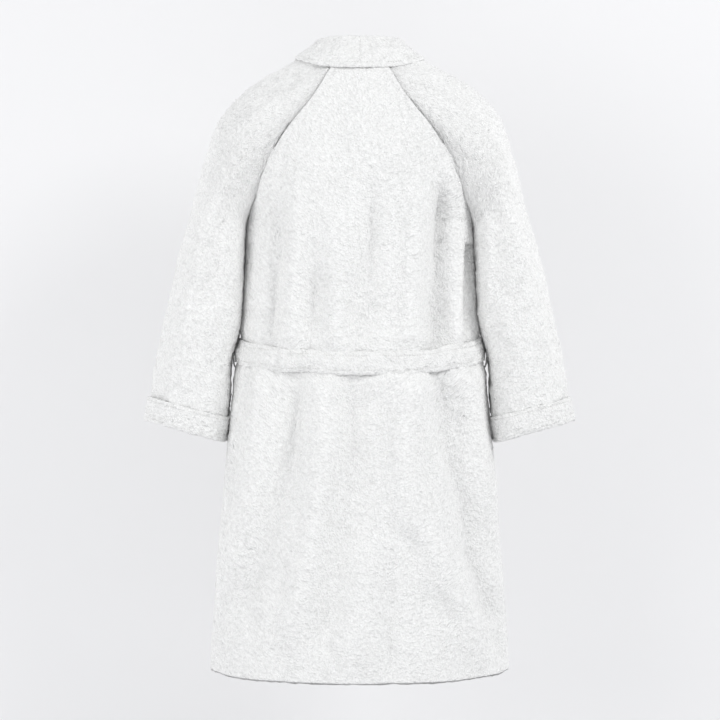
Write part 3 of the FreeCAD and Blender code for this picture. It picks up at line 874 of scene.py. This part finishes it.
def makeCollar(side):
    name, node = sideNames(side)
    stations = [backStation(np.radians(d)) for d in (90, 75, 60, 45, 30, 14, 0)]
    over = collar["overLeft"] if side > 0 else collar["overRight"]
    for z in collar["leftHeights"] if side > 0 else collar["rightHeights"]:
        outerX = float(through(lapelZ, lapelX, z))
        if side > 0:
            edgeX = float(through(leftEdgeZ, leftEdgeX, z))
        else:
            under = -float(through(leftEdgeZ, leftEdgeX, z)) + 0.0055
            edgeX = max(-float(through(leftEdgeZ, rightEdgeX, z)), under)
        here = over if z < -0.10 else over + 0.0025
        stations.append(frontStation(z, min(edgeX, outerX - 0.004), outerX, here))
    stations = np.array(stations)
    middle = stations[:, 3]
    step = np.concatenate([[0], np.cumsum(np.linalg.norm(np.diff(middle, axis=0), axis=1))])
    at = np.linspace(0, step[-1], collar["columns"])
    along = np.stack([[through(step, stations[:, i, k], at) for k in range(3)] for i in range(10)])
    along = np.moveaxis(along, 1, 2)                     # 10 x columns x 3
    share = np.concatenate([[0], np.cumsum(np.linalg.norm(np.diff(along, axis=0), axis=2).mean(1))])
    faceRows, rollRows = np.linspace(0, share[5], collar["rows"] - 12), np.linspace(share[5], share[-1], 13)
    rowAt = np.concatenate([faceRows, rollRows[1:]])
    grid = np.zeros((collar["rows"], collar["columns"], 3))
    for k in range(3):
        for j in range(collar["columns"]):
            grid[:, j, k] = through(share, along[:, j, k], rowAt)
    face = rowAt <= share[5] + 1e-9
    x, y, z = grid[..., 0], grid[..., 1], grid[..., 2]
    ground = shoulderHeight(x, y) + collar["clear"]
    onShoulder = 1 - ramp(at[None, :], step[7], step[8])
    lift = np.where(face[:, None], np.maximum(ground - z, 0), 0) * onShoulder
    grid[..., 2] = z + blurred(lift, 14)
    n = facing(grid, False, (3, 4), (0, 1.0, 0))
    onFront = ramp(at[None, :], step[6] + 0.02, step[8])
    lie = drapeHeight(-turnAt(side * x, z), z, frontFolds) * onFront
    grid = grid + n * lie[..., None]
    u = at[None, :] + 0 * x
    v = rowAt[:, None] / share[5]
    inFace = ramp(v, 0.0, 0.25) * (1 - ramp(v, 0.85, 1.0))
    wave = collar["foldHigh"] * softNoise(u, v * 0.03, 0.034, 71 + side) * inFace
    wave += collar["lift"] * softNoise(u, v * 0.02, 0.026, 75 + side) * (1 - ramp(v, 0.0, 0.4))
    if side < 0:
        wave -= 0.0045 * bump(u, 0.021, 0.010) * bump(v, 0.72, 0.16)         # dimple beside the seam
        crease = bump(v, 0.80 + 0.6 * (u - 0.02), 0.045)
        wave -= 0.0030 * crease * ramp(u, 0.015, 0.03) * (1 - ramp(u, 0.06, 0.10))
        wave += 0.0016 * bump(v, 0.92, 0.08) * ramp(u, 0.01, 0.03) * (1 - ramp(u, 0.06, 0.09))
    grid = grid + n * wave[..., None]
    toEdge = rowAt[:, None] + 0 * x
    relief = -0.0012 * bump(toEdge, 0.0095, 0.0022) - 0.0014 * bump(u, 0.0, 0.0015)
    if side < 0:
        for row in collar["quilting"]:
            here = row + 0.10 * (u - 0.070)
            reach = ramp(u, 0.018, 0.045) * (1 - ramp(u, 0.120, 0.150))
            relief -= 0.0013 * bump(toEdge, here, 0.0017) * reach
    mirror = np.array([side, 1.0, 1.0])
    piece = clothMesh("collar" + name, orient(grid * mirror, -side), 0.0046, relief=orient(relief, -side))
    addPiece(piece, cloths["terryCollar"], ["collar_" + node], "root")
    edgeRow = float(np.interp(0.0095, rowAt, np.arange(len(rowAt))))
    lines = [rowLine(grid * mirror, n * mirror, edgeRow, -0.0004)]
    stitchPiece("collarStitches" + name, lines, "root")


def makeUndercollar(side):
    name, node = sideNames(side)
    turn = np.linspace(np.pi / 2 - 0.004, np.radians(-22), 50)[None, :] + np.zeros((8, 1))
    z = np.linspace(0.0150, -0.0040, 8)[:, None] + 0 * turn
    grid = collarPoint(turn, z, -0.0069) * np.array([side, 1.0, 1.0])
    piece = clothMesh("undercollar" + name, orient(grid, side), 0.0044, rough=0.6)
    addPiece(piece, cloths["terryCollar"], ["undercollar_" + node], "root")


for side in (1, -1):
    makeCollar(side)
    makeUndercollar(side)


# belt tied in front, with two hanging ends
belt = {"high": 0.037, "thick": 0.0062, "columns": 300, "rows": 14, "knotWide": 0.074, "endWide": 0.040}


def makeBelt():
    turn = np.linspace(0, 2 * np.pi, belt["columns"], endpoint=False)[None, :]
    v = np.linspace(0.5, -0.5, belt["rows"])[:, None]
    start = bodyPoint(turn, -0.53 + 0 * turn)
    middleZ = beltHeight(start[..., 1])
    around = turn * 0.19
    ripple = 0.0016 * softNoise(around, v * 0.05, 0.028, 90) + 0.0010 * softNoise(around, v * 0.05, 0.012, 91)
    z = middleZ + v * belt["high"] * (1 + 0.06 * softNoise(around, 0 * v, 0.05, 92))
    z = z + 0.0022 * softNoise(around, 0 * v + 0.4, 0.045, 93)
    flat = bodyPoint(turn + 0 * z, z)
    lap = ramp(-flat[..., 1], 0.10, 0.15) * 0.0042
    crown = 0.0034 * (1 - (2 * v) ** 2)
    grid = bodyPoint(turn + 0 * z, z, 0.0088 + lap + crown + ripple)
    spot = np.abs(v) * belt["high"]
    relief = -0.0010 * bump(belt["high"] / 2 - spot, 0.0062, 0.0016) + 0 * z
    piece = clothMesh("waistBelt", orient(grid, -1), belt["thick"], True, relief=relief, bulge=0.5)
    addPiece(piece, cloths["terryBelt"], ["belt"], "root")
    closed = np.concatenate([grid, grid[:, :1]], 1)
    n = facing(closed, False, (5, 0), (1.0, 0, 0))
    lines = [rowLine(closed, n, row, 0.0) for row in (2.2, belt["rows"] - 3.2)]
    stitchPiece("beltStitches", lines, "root")


def makeKnot():
    # the belt wound over itself, pulled tight in the middle
    turns = np.linspace(0.15, 2.75, 92)[:, None] * 2 * np.pi
    v = np.linspace(-0.5, 0.5, 30)[None, :]
    shrink = 0.0064 * (turns - turns.max()) / (2 * np.pi)
    pinch = 1 - 0.20 * (np.abs(2 * v) ** 2.2)
    high = (0.0235 + shrink) * pinch
    deep = (0.0150 + shrink) * pinch
    wrinkle = 0.0013 * np.sin(v * 15 + turns * 2.0 + 1.0)
    wrinkle += 0.0016 * softNoise(v * 0.07 + 0 * turns, turns * 0.02, 0.020, 97)
    grow = wrinkle * ramp(turns, turns.max() - 7.2, turns.max() - 6.2)
    x = v * belt["knotWide"] * (1 - 0.07 * np.cos(turns)) - 0.003 + 0.004 * np.sin(turns)
    y = -0.1893 - (deep + grow) * np.cos(turns)
    z = -0.534 + (high + grow) * np.sin(turns) + v * 0.010
    grid = np.stack([x + 0 * y, y, z], -1)
    piece = clothMesh("beltKnot", grid[:, ::-1], 0.0050, rough=0.8, bulge=0.5)
    addPiece(piece, cloths["terryBelt"], ["belt_knot"], "root")
    print("knot", round(clothArea(grid), 4), "m2")


def makeBeltEnd(side):
    name, node = sideNames(side)
    middle, length, seed = (0.020, 0.345, 101) if side > 0 else (-0.026, 0.318, 111)
    rows, columns = 90, 18
    f = np.linspace(0, 1, rows)[:, None]
    v = np.linspace(-0.5, 0.5, columns)[None, :]
    wide = belt["endWide"] * (0.74 + 0.20 * ramp(f, 0, 0.22) + 0.02 * np.sin(f * 11 + seed))
    x = middle + v * wide + 0.0008 * softNoise(f * length, 0 * f, 0.06, seed)
    curl = 0.0026 * np.sin(f * 7 + seed) * v * 2 + 0.0030 * (1 - (2 * v) ** 2)
    curl += 0.0022 * np.cos(v * 13 + f * 3) * (1 - ramp(f, 0.02, 0.30))      # gathered under the knot
    y = -0.1890 - 0.0072 * f - curl - 0.0022 * softNoise(f * length, v * 0.03, 0.045, seed + 1)
    z = -0.5540 - f * (length + 0.0085) + 0.002 * v * np.sin(seed)
    grid = np.stack([x + 0 * y, y, z + 0 * y], -1)
    spot = (0.5 - np.abs(v)) * belt["endWide"]
    foot = (1 - f) * length
    relief = -0.0009 * bump(spot, 0.0055, 0.0016) + 0 * y
    relief -= 0.0009 * (bump(foot, 0.007, 0.0018) + bump(foot, 0.014, 0.0018)) * np.ones_like(v)
    piece = clothMesh("beltEnd" + name, grid, 0.0066, relief=relief, bulge=0.5)
    addPiece(piece, cloths["terryBelt"], ["belt_end_" + node])
    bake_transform(piece)
    n = np.zeros_like(grid)
    n[..., 1] = -1
    lines = [(grid[4:-3, c], n[4:-3, c]) for c in (2, -3)]
    lines += [(grid[row, 2:-2], n[row, 2:-2]) for row in (-3, -5)]
    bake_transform(stitchPiece("beltEndStitches" + name, lines))


makeBelt()
makeKnot()
for side in (1, -1):
    makeBeltEnd(side)
print("belt ready")


# hanger loop of cotton tape
tape = {"wide": 0.009, "thick": 0.0020, "loopRadius": 0.026}


def ribbon(name, line, sides, thick, material, node, body="root", rough=0.25):
    # a strip of tape along a line of points, sides are the halves of its width as vectors
    line, sides = np.asarray(line, float), np.asarray(sides, float)
    across = np.linspace(-1, 1, 6)[None, :, None]
    grid = line[:, None, :] + sides[:, None, :] * across
    piece = clothMesh(name, grid, thick, rough=rough, bulge=0.3)
    return addPiece(piece, material, [node], body)


def makeHangerLoop():
    radius = tape["loopRadius"] + tape["thick"]
    angles = np.radians(np.linspace(180, 0, 40))
    arch = [(radius * np.cos(a), 0, -tape["loopRadius"] + radius * np.sin(a)) for a in angles]
    foot = ((0.0150, -0.0415), (0.0075, -0.0410), (0.0022, -0.0375), (0, -0.0315))
    legLeft = [(-radius, y, z) for y, z in foot]
    legRight = [(-x, y, z) for x, y, z in reversed(legLeft)]
    line = np.array(legLeft + arch + legRight)
    half = np.tile([0, tape["wide"] / 2, 0], (len(line), 1)).astype(float)
    for i in (0, 1, 2):
        turned = Vector(((0, 0.0020, 0.0042), (0, 0.0022, 0.0040), (0, 0.0036, 0.0028))[i])
        half[i] = turned
        half[-1 - i] = turned
    cotton = cloths["cottonTape"]
    piece = ribbon("hangerLoop", line, half, tape["thick"], cotton, "hanger_loop")


def makeFacing():
    columns, rows = 56, 26
    x = np.linspace(0.084, -0.084, columns)[None, :]
    foot = -0.040 - 0.078 * np.sqrt(np.clip(1 - (x / 0.0855) ** 2, 0, 1))
    f = np.linspace(0, 1, rows)[:, None]
    z = -0.034 + f * (foot + 0.034)
    turn = turnAt(x + 0 * z, z)
    grid = drape(turn, z, backFolds, -0.0060)
    piece = clothMesh("backNeckFacing", grid, 0.0024, rough=0.5)
    addPiece(piece, cloths["terryBody"], ["back_neck_facing"], "root")


def makeLabel(name, node, turnRange, zRange, out, thick):
    rows, columns = 14, 18
    z = np.linspace(zRange[1], zRange[0], rows)[:, None] + np.zeros((1, columns))
    turn = np.linspace(*turnRange, columns)[None, :] + 0 * z
    grid = drape(turn, z, backFolds, out)
    piece = clothMesh(name, grid, thick, rough=0.1)
    addPiece(piece, cloths["labelTape"], [node], "root")


def makeBeltLoop(side):
    name, node = sideNames(side)
    path = [(0.2078, -0.5485), (0.2150, -0.5475), (0.2190, -0.5420), (0.2206, -0.5300), (0.2208, -0.5150),
            (0.2203, -0.5000), (0.2180, -0.4880), (0.2120, -0.4835), (0.2048, -0.4825)]
    spots = np.linspace(0, len(path) - 1, 34)
    xs = through(np.arange(len(path)), [p[0] for p in path], spots)
    zs = through(np.arange(len(path)), [p[1] for p in path], spots)
    line = np.stack([side * xs, np.full_like(xs, robe["middleY"]), zs], -1)
    half = np.tile([0, -0.006 * side, 0], (len(line), 1))
    piece = ribbon("beltLoop" + name, line, half, 0.0022, cloths["terryBelt"],
                   "belt_loop_" + node, rough=0.3)


makeHangerLoop()
makeFacing()
labelTurn = float(turnAt(np.array(0.026), np.array(-0.080)))
neckTurns = (labelTurn, np.pi - labelTurn)
makeLabel("neckLabel", "neck_label", neckTurns, (-0.096, -0.064), -0.0092, 0.0008)
makeLabel("careLabel", "care_label", (0.020, 0.235), (-0.745, -0.690), -0.0068, 0.0007)
for side in (1, -1):
    makeBeltLoop(side)


# patch pockets, a little full so that they stand off the front
pocket = {
    "xs": (0.072, 0.206),
    "zs": (-0.812, -0.632),
    "columns": 52,
    "rows": 64,
    "bag": 0.0125,            # how far the middle stands off the front
    "mouthBand": 0.026,
}


def makePocket(side):
    name, node = sideNames(side)
    f = np.linspace(0, 1, pocket["rows"])[:, None]
    g = np.linspace(0, 1, pocket["columns"])[None, :]
    z = pocket["zs"][1] + f * (pocket["zs"][0] - pocket["zs"][1]) + 0 * g
    x = pocket["xs"][0] + g * (pocket["xs"][1] - pocket["xs"][0]) + 0 * f
    turn = -turnAt(side * x, z)
    edge = np.minimum(np.minimum(g, 1 - g) * 0.134, (1 - f) * 0.180)
    out = 0.0058 + pocket["bag"] * ramp(edge, 0.004, 0.052) * (0.55 + 0.45 * (1 - f))
    out = out + 0.0012 * softNoise(x * side, z, 0.030, 121 + side)
    grid = drape(turn, z, frontFolds, out)
    down = f * 0.180 + 0 * g
    relief = -0.0012 * bump(down, pocket["mouthBand"], 0.0020) - 0.0010 * bump(edge, 0.0060, 0.0018)
    relief += 0.0008 * (1 - ramp(down, pocket["mouthBand"] - 0.003, pocket["mouthBand"]))
    piece = clothMesh("pocket" + name, orient(grid, -side), 0.0046, relief=orient(relief, -side))
    addPiece(piece, cloths["terryPocket"], ["pocket_" + node], "root")
    n = facing(grid, False, (20, 20), (0, -1.0, 0))
    band = pocket["mouthBand"] / 0.180 * (pocket["rows"] - 1)
    lines = [rowLine(grid, n, band, -0.0003)]
    lines += [(grid[4:-2, c] - n[4:-2, c] * 0.0004, n[4:-2, c]) for c in (2, -3)]
    lines.append((grid[-3, 3:-3] - n[-3, 3:-3] * 0.0004, n[-3, 3:-3]))
    stitchPiece("pocketStitches" + name, lines, "root")


for side in (1, -1):
    makePocket(side)
print("pockets ready")


# pale wall and floor, soft lights and the camera
stage = {"wall": 0.42, "floor": -1.42, "distance": 4.0, "lens": 114.3}


def plane(name, size, place, turn, material):
    bpy.ops.object.select_all(action="DESELECT")
    bpy.ops.mesh.primitive_plane_add(size=1, location=place, rotation=turn)
    made = bpy.context.object
    made.name = name
    made.scale = (*size, 1)
    bpy.ops.object.transform_apply(location=True, rotation=True, scale=True)
    made.data.materials.append(material)


def stageMaterial(name, tone, glow, oneSided):
    material = bpy.data.materials.new(name)
    material.use_nodes = True
    nodes, links = material.node_tree.nodes, material.node_tree.links
    shader = nodes["Principled BSDF"]
    shader.inputs["Base Color"].default_value = (*tone, 1)
    shader.inputs["Roughness"].default_value = 1.0
    shader.inputs["Specular IOR Level"].default_value = 0.0
    shader.inputs["Emission Color"].default_value = (*tone, 1)
    shader.inputs["Emission Strength"].default_value = glow
    if oneSided:
        # seen from behind, and for light on its way to the robe, the wall is clear
        face, path = nodes.new("ShaderNodeNewGeometry"), nodes.new("ShaderNodeLightPath")
        either = nodes.new("ShaderNodeMath")
        either.operation = "MAXIMUM"
        clear = nodes.new("ShaderNodeBsdfTransparent")
        mix = nodes.new("ShaderNodeMixShader")
        links.new(face.outputs["Backfacing"], either.inputs[0])
        links.new(path.outputs["Is Shadow Ray"], either.inputs[1])
        links.new(either.outputs[0], mix.inputs["Fac"])
        links.new(shader.outputs["BSDF"], mix.inputs[1])
        links.new(clear.outputs["BSDF"], mix.inputs[2])
        links.new(mix.outputs["Shader"], nodes["Material Output"].inputs["Surface"])
    return material


def areaLight(name, place, aim, size, power):
    data = bpy.data.lights.new(name, "AREA")
    data.size, data.energy = size, power
    lamp = bpy.data.objects.new(name, data)
    bpy.context.scene.collection.objects.link(lamp)
    lamp.location = place
    lamp.rotation_euler = (Vector(aim) - Vector(place)).to_track_quat("-Z", "Y").to_euler()


wallMaterial = stageMaterial("paleWall", (0.50, 0.50, 0.505), 0.70, True)
floorMaterial = stageMaterial("paleFloor", (0.70, 0.70, 0.71), 0.2, False)
plane("wall", (8, 7), (0, -stage["wall"], 0.5), (-math.pi / 2, 0, 0), wallMaterial)
plane("floor", (10, 11), (0, 0.5, stage["floor"]), (0, 0, 0), floorMaterial)
target = (0, robe["middleY"], -0.534)
areaLight("keyLight", (-2.6, 2.0, 1.5), target, 1.4, 66)
areaLight("fillLight", (2.9, 2.2, 0.3), target, 2.4, 52)
areaLight("frontKey", (2.2, -3.0, 1.4), target, 1.6, 20)
areaLight("frontFill", (-2.4, -2.6, 0.2), target, 2.4, 16)
world = bpy.data.worlds.new("studio")
bpy.context.scene.world = world
world.use_nodes = True
world.node_tree.nodes["Background"].inputs["Color"].default_value = (0.94, 0.95, 0.97, 1)
world.node_tree.nodes["Background"].inputs["Strength"].default_value = 0.62
cameraData = bpy.data.cameras.new("camera")
cameraData.lens = stage["lens"]
camera = bpy.data.objects.new("camera", cameraData)
bpy.context.scene.collection.objects.link(camera)
camera.location = (0, robe["middleY"] + stage["distance"], target[2])
camera.rotation_euler = (math.pi / 2, 0, math.pi)
bpy.context.scene.camera = camera
bpy.context.scene.view_settings.view_transform = "Standard"
print("stage ready")
